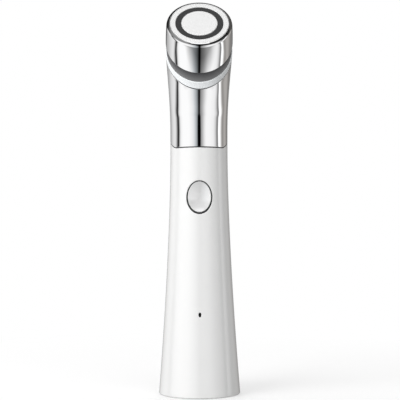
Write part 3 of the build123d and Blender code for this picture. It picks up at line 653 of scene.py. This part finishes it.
def opening_patch(weave, rings, heights, bounds, centre, size, depth, turns=None):
    """Fills a gap in the grid up to an oval opening, and returns the opening's ring.

    bounds are the lowest and highest row and the half width in columns of the gap.
    """
    low, high, half = bounds
    first, last = heights.index(low), heights.index(high)
    outline = [rings[first][column] for column in range(-half, half)]
    outline += [rings[row][half] for row in range(first, last)]
    outline += [rings[last][column] for column in range(half, -half, -1)]
    outline += [rings[row][-half] for row in range(last, first, -1)]
    corners = [(weave.points[index].x, weave.points[index].z) for index in outline]
    if turns is None:
        turns = [atan2((z - centre) / size[1], x / size[0]) for x, z in corners]
    rims = [(size[0] * cos(turn), centre + size[1] * sin(turn)) for turn in turns]
    patch = [outline]
    for share in PATCH_SHARES:
        patch.append(weave.ring([
            front_point(x + (rim_x - x) * share, z + (rim_z - z) * share, depth)
            for (x, z), (rim_x, rim_z) in zip(corners, rims)]))
    weave.chain(patch)
    return patch[-1], turns


def gap_columns(low, high):
    """Columns of the grid that stay open between two rows."""
    skipped = set()
    for bottom, top, half in (BUTTON_GAP, LENS_GAP):
        if bottom <= low and high <= top:
            skipped |= {column % COLUMNS for column in range(-half, half)}
    return skipped


def make_grip():
    weave = Weave()
    seam_station = seam(0)

    def skin(heights, depth):
        rings = [weave.turn(lambda a: skin_point(a, height, depth)) for height in heights]
        for i in range(len(rings) - 1):
            weave.bridge(rings[i], rings[i + 1], gap_columns(heights[i], heights[i + 1]))
        return rings

    def up_to_seam(start, depth, steps, stop):
        rings = []
        for share in spread(0, 1, steps)[1:]:
            def place(angle):
                last = seam_station(angle, depth) - stop
                return skin_point(angle, start + (last - start) * share, depth)
            rings.append(weave.turn(place))
        return rings

    grid_heights = [float(height) for height in range(GRID_BOTTOM, GRID_TOP + 1)]
    outer_heights = [BASE_ROUNDING] + grid_heights
    inner_heights = [height for height in grid_heights if height >= BASE_LIP]
    outer = skin(outer_heights, 0)
    inner = skin(inner_heights, SHELL_WALL)

    # Base: rounded corner, flat foot, opening for the cap
    foot = [weave.turn(lambda a: skin_point(a, level, depth))
            for level, depth in quarter(BASE_ROUNDING, BASE_STEPS)]
    for radius, level in ((BASE_OPENING + BASE_BEVEL, 0), (BASE_OPENING, BASE_BEVEL),
                          (BASE_OPENING, BASE_LIP)):
        foot.append(weave.turn(lambda a: Vector((radius * sin(a), -radius * cos(a), level))))
    weave.chain([outer[0]] + foot[1:] + [inner[0]])

    # Seam: rounded edge, step for the sleeve's liner
    crown = [outer[-1]] + up_to_seam(
        outer_heights[-1], 0, CROWN_ROWS, SEAM_ROUNDING + SUPPORT)
    for short, deep in quarter(SEAM_ROUNDING):
        crown.append(weave.turn(lambda a: skin_point(a, seam_station(a, deep) - short, deep)))
    lining = [inner[-1]]
    for depth in (SHELL_WALL, SLEEVE_WALL):
        lining.append(weave.turn(lambda a: skin_point(a, LINER_STEP, depth)))
    lining += up_to_seam(LINER_STEP, SLEEVE_WALL, LINING_ROWS, 0)
    weave.chain(crown + lining[::-1])

    openings = (
        (BUTTON_GAP, BUTTON_HEIGHT, BUTTON_OPENING, OPENING_ROUNDING),
        (LENS_GAP, LENS_HEIGHT, LENS_OPENING, LENS_ROUNDING),
    )
    for gap, centre, (half_width, half_height), rounding in openings:
        widened = (half_width + rounding, half_height + rounding)
        rim, turns = opening_patch(weave, outer, outer_heights, gap, centre, widened, 0)
        back, _ = opening_patch(weave, inner, inner_heights, gap, centre,
                                (half_width, half_height), SHELL_WALL, turns)
        wall = [rim]
        for short, deep in quarter(rounding)[1:]:
            wall.append(weave.ring([
                front_point((half_width + short) * cos(turn),
                            centre + (half_height + short) * sin(turn), deep)
                for turn in turns]))
        weave.chain(wall + [back])
    piece = make_piece("grip_shell", weave, "handle", "grip_plastic", "handle_shell")
    piece.visible_glossy = False


# Head and its face

def rim_profile():
    """Radius and depth of the points of the rim, from the face to the side."""
    turn, radius, depth = 0, RIM_START, 0
    profile = []
    for end, rounding in RIM_BENDS:
        for following in spread(turn, end, RIM_STEPS)[1:]:
            radius += rounding * (sin(following) - sin(turn))
            depth += rounding * (cos(turn) - cos(following))
            turn = following
            profile.append((radius, depth))
    return profile


RIM_PROFILE = rim_profile()
RIM_END_RADIUS, RIM_END = RIM_PROFILE[-1]


def head_radius(depth):
    """Radius of the head's slightly domed side."""
    along = depth - RIM_END
    return RIM_END_RADIUS + HEAD_FLARE * along - HEAD_DOME * along ** 2


def head_edge(angle, inset):
    """Depth at which the head's side meets the slanted plane behind it."""
    def height_above(depth):
        point = head_point(angle, head_radius(depth) - inset, depth)
        return HEAD_SEAT - (point - PARTING_ORIGIN).dot(PARTING_NORMAL)
    return crossing(height_above, 0, HEAD_DEEPEST_EDGE)


def make_head():
    weave = Weave()
    rings = []
    for share in spread(1, 0, BORE_ROWS):
        def bore(angle):
            depth = FACE_LIP + (head_edge(angle, HEAD_WALL) - FACE_LIP) * share
            return head_point(angle, HEAD_BORE, depth)
        rings.append(weave.turn(bore))
    for radius, depth in [(FACE_OPENING, FACE_LIP), (FACE_OPENING, FACE_BEVEL)] + RIM_PROFILE:
        rings.append(weave.turn(lambda a: head_point(a, radius, depth)))
    for share in spread(0, 1, HEAD_ROWS)[1:]:
        def side(angle):
            last = head_edge(angle, 0) - HEAD_ROUNDING - SUPPORT
            depth = RIM_END + (last - RIM_END) * share
            return head_point(angle, head_radius(depth), depth)
        rings.append(weave.turn(side))
    for short, deep in quarter(HEAD_ROUNDING):
        def corner(angle):
            depth = head_edge(angle, deep) - short
            return head_point(angle, head_radius(depth) - deep, depth)
        rings.append(weave.turn(corner))
    weave.chain(rings, closed=True)
    make_piece("polished_head", weave, "handle", "polished_metal", "head_shell")


def make_lathe(name, profile, slot, *nodes, closed=True):
    """A ring or disc about the head's axis, from its profile of radius and depth."""
    weave = Weave()
    rings = [weave.turn(lambda a: head_point(a, radius, depth)) for radius, depth in profile]
    weave.chain(rings, closed)
    if not closed:
        weave.cap(rings[0], head_point(0, 0, profile[0][1]))
        weave.cap(rings[-1], head_point(0, 0, profile[-1][1]))
    make_piece(name, weave, "handle", slot, *nodes)


def make_face():
    rounded = quarter(ELECTRODE_ROUNDING)
    ring = [(INSULATOR_RADIUS, ELECTRODE_THICKNESS)]
    ring += [(INSULATOR_RADIUS + short, deep) for short, deep in reversed(rounded)]
    ring += [(INSULATOR_RADIUS + ELECTRODE_BORDER, 0),
             (OUTER_ELECTRODE_RADIUS - ELECTRODE_BORDER, 0)]
    ring += [(OUTER_ELECTRODE_RADIUS - short, deep) for short, deep in rounded]
    ring += [(OUTER_ELECTRODE_RADIUS, ELECTRODE_THICKNESS)]
    make_lathe("ring_electrode", ring, "satin_metal", "outer_electrode")

    inner, outer = CENTRE_RADIUS + INSULATOR_SLIT, INSULATOR_RADIUS - INSULATOR_SLIT
    front, bevelled = INSULATOR_RECESS, INSULATOR_RECESS + INSULATOR_BEVEL
    groove = [(inner, ELECTRODE_THICKNESS), (inner, bevelled), (inner + INSULATOR_BEVEL, front),
              (outer - INSULATOR_BEVEL, front), (outer, bevelled), (outer, ELECTRODE_THICKNESS)]
    make_lathe("dark_ring", groove, "insulator", "insulator_ring")

    disc = [(radius, 0) for radius in CENTRE_RINGS]
    disc += [(CENTRE_RADIUS - short, deep) for short, deep in quarter(CENTRE_ROUNDING)]
    disc += [(CENTRE_RADIUS, ELECTRODE_THICKNESS)]
    make_lathe("disc_electrode", disc, "satin_metal", "centre_electrode", closed=False)


make_neck()
make_grip()
make_head()
make_face()

# The other nodes keep their shape and, like the grip around them, stay out of the mirrors
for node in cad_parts.values():
    node.visible_glossy = False
    for material_slot in node.material_slots:
        slot_name = material_slot.material.name.split(".")[0]
        material_slot.material = finish(slot_name)


# Camera, worked out from the photograph: millimetres and degrees, and pixels of its frame
CAMERA_DISTANCE = 440.0
CAMERA_HEIGHT = 68.0
CAMERA_OFFSET = 0.335
CAMERA_AZIMUTH = -0.8
CAMERA_ROLL = -0.16
SENSOR_WIDTH = 36.0
IMAGE_WIDTH = 400
FOCAL_LENGTH = 1047.6
HORIZON_ROW = 231.0

# Studio: strength of the even light, then sizes in metres
AMBIENT = 0.345
FLOOR_SIZE = 6.0
FLOOR_GREY = 0.95
# Share of plain white in the floor, and the distances between which it grows
FLOOR_WHITENESS = (0.35, 1)
FLOOR_FADE = (0.03, 0.25)
LAMP_DISTANCE = 0.8
LAMP_TARGET = Vector((0, 0, 0.08))
# Azimuth and elevation in degrees, width and height, and power in watts
LAMPS = {
    "key_lamp": (-50, 20, (0.6, 0.8), 5.15),
    "fill_lamp": (24, 12, (0.5, 0.8), 1.6),
    "rear_lamp": (180, 35, (0.8, 0.6), 2.5),
    "top_lamp": (0, 88, (0.8, 0.8), 2.2),
}


def make_world():
    """Even light on the object, and plain white behind it and in its reflections."""
    world = bpy.data.worlds.new("studio_world")
    world.use_nodes = True
    nodes = world.node_tree.nodes
    room = nodes["Background"]
    white = nodes.new("ShaderNodeBackground")
    for background, strength in ((room, AMBIENT), (white, 1.0)):
        socket(background, "Color", (1, 1, 1, 1))
        socket(background, "Strength", strength)
    seen = light_path(nodes, "Is Camera Ray", "Is Glossy Ray", "Is Transmission Ray")
    both = mix_shaders(nodes, seen, room.outputs[0], white.outputs[0])
    join(nodes, both, nodes["World Output"].inputs["Surface"])
    scene.world = world


def stage_piece(name, work, material):
    """A piece of the studio from a bmesh."""
    mesh = bpy.data.meshes.new(name)
    work.to_mesh(mesh)
    work.free()
    mesh.materials.append(material)
    piece = bpy.data.objects.new(name, mesh)
    scene.collection.objects.link(piece)
    return piece


def make_floor():
    """Pale floor that keeps the object's shadow and turns into the white backdrop."""
    material, nodes = new_material("pale_floor")
    shader = nodes["Principled BSDF"]
    socket(shader, "Base Color", (FLOOR_GREY, FLOOR_GREY, FLOOR_GREY, 1))
    socket(shader, "Roughness", 0.9)
    socket(shader, "Specular IOR Level", 0.1)
    white = nodes.new("ShaderNodeEmission")
    socket(white, "Strength", 1.0)
    distance = nodes.new("ShaderNodeVectorMath")
    distance.operation = "LENGTH"
    join(nodes, texture_place(nodes), distance.inputs[0])
    away = remap(nodes, distance.outputs["Value"], *FLOOR_WHITENESS, *FLOOR_FADE)
    seen = light_path(nodes, "Is Camera Ray", "Is Transmission Ray")
    both = mix_shaders(nodes, times(nodes, away, seen), shader.outputs[0], white.outputs[0])
    join(nodes, both, nodes["Material Output"].inputs["Surface"])
    work = bmesh.new()
    bmesh.ops.create_circle(work, cap_ends=True, radius=FLOOR_SIZE, segments=96)
    floor = stage_piece("floor", work, material)
    floor.visible_glossy = False
    floor.visible_diffuse = False


# The light tent is a large ball of bright panels with dark gaps between them. The panels
# run along an axis that leans forward, as the head does.
TENT_RADIUS = 3.0
TENT_LEAN = 43.0

# Panels by azimuth about that axis, 0 towards the camera and growing to the right, and
# their brightness
TENT_PANELS = (
    (-180, 0.40), (-152, 0.42), (-140, 0.50), (-126, 0.73), (-117, 0.81), (-110, 0.83),
    (-107, 0.70), (-103, 0.445), (-98, 0.02), (-94, 0.02), (-87, 0.89), (-78, 1.03),
    (-55, 1.03), (-42, 0.94), (-30, 0.81), (-20, 0.56), (-9, 0.26), (-2.2, 0.004),
    (2.8, 0.004), (8, 0.25), (19, 0.46), (34, 0.885), (41, 0.98), (54, 0.98),
    (71, 0.90), (79, 0.66), (84, 0.24), (88, 0.24), (92, 1.40), (97, 1.05),
    (102, 0.57), (106, 0.30),
)
# The panels at the far right, which take over where those end
REAR_PANELS = (
    (106, 0.30), (111, 0.31), (118, 0.42), (127, 0.42), (137, 0.22), (150, 0.25), (180, 0.40),
)
# Tint of the panels by azimuth
TENT_TINTS = (
    (-180, (1, 1, 1)), (-40, (1, 1, 1)), (-14, (0.90, 0.96, 1)), (-3, (0.92, 0.97, 1)),
    (5, (1, 1, 1)), (98, (1, 1, 1)), (106, (1, 0.96, 0.92)), (140, (1, 0.96, 0.92)),
    (180, (1, 1, 1)),
)

# The panels are drawn together at the waist, by these degrees at each azimuth
TENT_SHIFT = (
    (-180, -27), (-84, -11.5), (-45, -11), (-30, -9), (-9, -4.5), (-2, -0.3), (2, 0.3),
    (9, 4.5), (30, 8), (72, 12.9), (180, 30),
)
GREATEST_SHIFT = 90
# Share of this shift by height over the tent's radius, and the places along the axis
# between which it starts
TENT_WAIST = (
    (-0.47, 1), (-0.40, 1), (-0.32, 0.98), (-0.26, 0.875), (-0.19, 0.725), (-0.115, 0.53),
    (-0.05, 0.31), (0.0, 0.11), (0.05, 0.0),
)
WAIST_START = (-0.60, -0.48)

# From here on places are heights and distances over the tent's radius, in the room's own
# directions, and bearings are degrees about the upright. The wall of panels ends at a
# height that changes with the bearing.
WALL_TOP = (
    (-180, 0.15), (-172, 0.15), (-154, 0.20), (-140, 0.28), (-125, 0.35), (-45, 0.35),
    (-20, 0.30), (-8, 0.24), (-4, 0.0), (4, 0.0), (8, 0.20), (60, 0.22), (110, 0.32),
    (125, 0.35), (140, 0.28), (154, 0.20), (172, 0.15), (180, 0.15),
)
WALL_SOFTNESS = 0.05
WALL_REST = 0.04
# Low in front the wall is darker, down to a share of its brightness
FOOT_HEIGHT = (-0.85, -0.60)
FOOT_BACK = (0.0, 0.19)
FOOT_TURN = -0.07
FOOT_FRONT = (-0.36, -0.14)
FOOT_LEVEL = 0.38
# Grey of the gap above the wall, by bearing
GAP_START = (0.15, 0.25)
GAP_LEVEL = (
    (-180, 0.01), (-100, 0.01), (-80, 0.16), (-60, 0.28), (-24, 0.28), (-14, 0.0),
    (70, 0.0), (90, 0.08), (150, 0.08), (180, 0.01),
)
# The bright roof over the gap is a strip that widens to the front
ROOF_HEIGHT = (0.56, 0.66)
ROOF_BACK = (-0.02, 0.03)
ROOF_SIDE = 0.02
ROOF_WIDENING = 0.25
ROOF_WIDTH = (0.03, 0.06)
ROOF_LEVEL = 1.2


def azimuth_of(nodes, x, y):
    """Angle to the right of the direction -Y."""
    return calculate(nodes, "ARCTAN2", x, times(nodes, y, -1))


def draw_together(nodes, azimuth, along, height):
    """Azimuth of the panel that is seen at an azimuth, given the shift at the waist."""
    waist = times(nodes, ramp(nodes, height, TENT_WAIST, -1, 1),
                  remap(nodes, along, 0, 1, *WAIST_START))
    stops = [(angle, (shift + GREATEST_SHIFT) / (2 * GREATEST_SHIFT))
             for angle, shift in TENT_SHIFT]
    shift = calculate(nodes, "SUBTRACT", angle_ramp(nodes, azimuth, stops), 0.5)
    shift = times(nodes, shift, radians(2 * GREATEST_SHIFT), waist)
    return calculate(nodes, "ADD", azimuth, shift)


def panel_ramp(nodes, azimuth, panels):
    """Brightness of a row of panels, as shares of the brightest one in the ramp."""
    brightest = max(level for _, level in panels)
    shares = angle_ramp(nodes, azimuth, [(angle, level / brightest) for angle, level in panels])
    return times(nodes, shares, brightest)


def panel_brightness(nodes, azimuth):
    is_rear = calculate(nodes, "GREATER_THAN", azimuth, radians(REAR_PANELS[0][0]))
    is_front = calculate(nodes, "SUBTRACT", 1, is_rear)
    front = times(nodes, panel_ramp(nodes, azimuth, TENT_PANELS), is_front)
    rear = times(nodes, panel_ramp(nodes, azimuth, REAR_PANELS), is_rear)
    return calculate(nodes, "ADD", front, rear)


def foot_share(nodes, side, back, height):
    """Share of its brightness that the wall keeps low in front."""
    low = remap(nodes, height, 1, 0, *FOOT_HEIGHT)
    turned = calculate(nodes, "ADD", back, times(nodes, side, FOOT_TURN))
    ahead = times(nodes, remap(nodes, turned, 1, 0, *FOOT_BACK),
                  remap(nodes, back, 0, 1, *FOOT_FRONT))
    return calculate(nodes, "SUBTRACT", 1, times(nodes, low, ahead, 1 - FOOT_LEVEL))


def roof_brightness(nodes, side, back, height):
    aside = calculate(nodes, "ABSOLUTE", calculate(nodes, "SUBTRACT", side, ROOF_SIDE))
    aside = calculate(nodes, "ADD", aside, times(nodes, back, ROOF_WIDENING))
    return times(nodes, remap(nodes, aside, ROOF_LEVEL, 0, *ROOF_WIDTH),
                 remap(nodes, back, 1, 0, *ROOF_BACK), remap(nodes, height, 0, 1, *ROOF_HEIGHT))


def make_tent():
    """Tent of bright and dark panels round the object, seen only in reflections."""
    material, nodes = new_material("tent_panels")
    nodes.remove(nodes["Principled BSDF"])

    across, forward, along = split(nodes, texture_place(nodes))
    along = calculate(nodes, "DIVIDE", along, TENT_RADIUS)
    position = nodes.new("ShaderNodeNewGeometry").outputs["Position"]
    side, back, height = (
        calculate(nodes, "DIVIDE", part, TENT_RADIUS) for part in split(nodes, position))
    bearing = azimuth_of(nodes, side, back)

    azimuth = draw_together(nodes, azimuth_of(nodes, across, forward), along, height)
    above_top = calculate(nodes, "SUBTRACT", height, angle_ramp(nodes, bearing, WALL_TOP))
    below_top = remap(nodes, above_top, 1, WALL_REST, -WALL_SOFTNESS, WALL_SOFTNESS)
    wall = times(nodes, panel_brightness(nodes, azimuth),
                 foot_share(nodes, side, back, height), below_top)
    gap = times(nodes, angle_ramp(nodes, bearing, GAP_LEVEL),
                remap(nodes, height, 0, 1, *GAP_START))
    wall = calculate(nodes, "MAXIMUM", wall, gap)
    roof = roof_brightness(nodes, side, back, height)

    glow = nodes.new("ShaderNodeEmission")
    join(nodes, angle_ramp(nodes, azimuth, TENT_TINTS), glow.inputs["Color"])
    join(nodes, calculate(nodes, "MAXIMUM", wall, roof), glow.inputs["Strength"])
    join(nodes, glow.outputs[0], nodes["Material Output"].inputs["Surface"])
    work = bmesh.new()
    bmesh.ops.create_uvsphere(work, u_segments=96, v_segments=48, radius=TENT_RADIUS)
    tent = stage_piece("light_tent", work, material)
    tent.rotation_euler = (radians(TENT_LEAN), 0, 0)
    tent.visible_camera = False
    tent.visible_diffuse = False
    tent.visible_transmission = False
    tent.visible_shadow = False
    tent.visible_volume_scatter = False


def make_lamp(name, azimuth, elevation, size, power):
    """Soft lamp aimed at the middle of the object; its glare is left to the tent."""
    lamp = bpy.data.lights.new(name, "AREA")
    lamp.shape = "RECTANGLE"
    lamp.size, lamp.size_y = size
    lamp.energy = power
    holder = bpy.data.objects.new(name, lamp)
    scene.collection.objects.link(holder)
    turn, lift = radians(azimuth), radians(elevation)
    away = Vector((sin(turn) * cos(lift), -cos(turn) * cos(lift), sin(lift)))
    holder.location = LAMP_TARGET + away * LAMP_DISTANCE
    holder.rotation_euler = away.to_track_quat("Z", "Y").to_euler()
    holder.visible_camera = False
    holder.visible_glossy = False


def make_camera():
    """Level camera at the photograph's place, shifted up to its framing."""
    azimuth = radians(CAMERA_AZIMUTH)
    forward = Vector((-sin(azimuth), cos(azimuth), 0))
    right = Vector((cos(azimuth), sin(azimuth), 0))
    camera = bpy.data.cameras.new("camera")
    camera.sensor_width = SENSOR_WIDTH
    camera.lens = SENSOR_WIDTH * FOCAL_LENGTH / IMAGE_WIDTH
    camera.shift_y = (HORIZON_ROW - IMAGE_WIDTH / 2) / IMAGE_WIDTH
    camera.clip_start = 0.01
    camera.clip_end = 50
    holder = bpy.data.objects.new("camera", camera)
    scene.collection.objects.link(holder)
    aim = forward.to_track_quat("-Z", "Y").to_matrix().to_4x4()
    roll = Matrix.Rotation(radians(CAMERA_ROLL), 4, "Z")
    place = right * CAMERA_OFFSET - forward * CAMERA_DISTANCE + Vector((0, 0, CAMERA_HEIGHT))
    holder.matrix_world = Matrix.Translation(place * MM) @ aim @ roll
    scene.camera = holder


make_world()
make_floor()
make_tent()
for lamp_name, lamp_values in LAMPS.items():
    make_lamp(lamp_name, *lamp_values)
make_camera()
scene.view_settings.view_transform = "Standard"
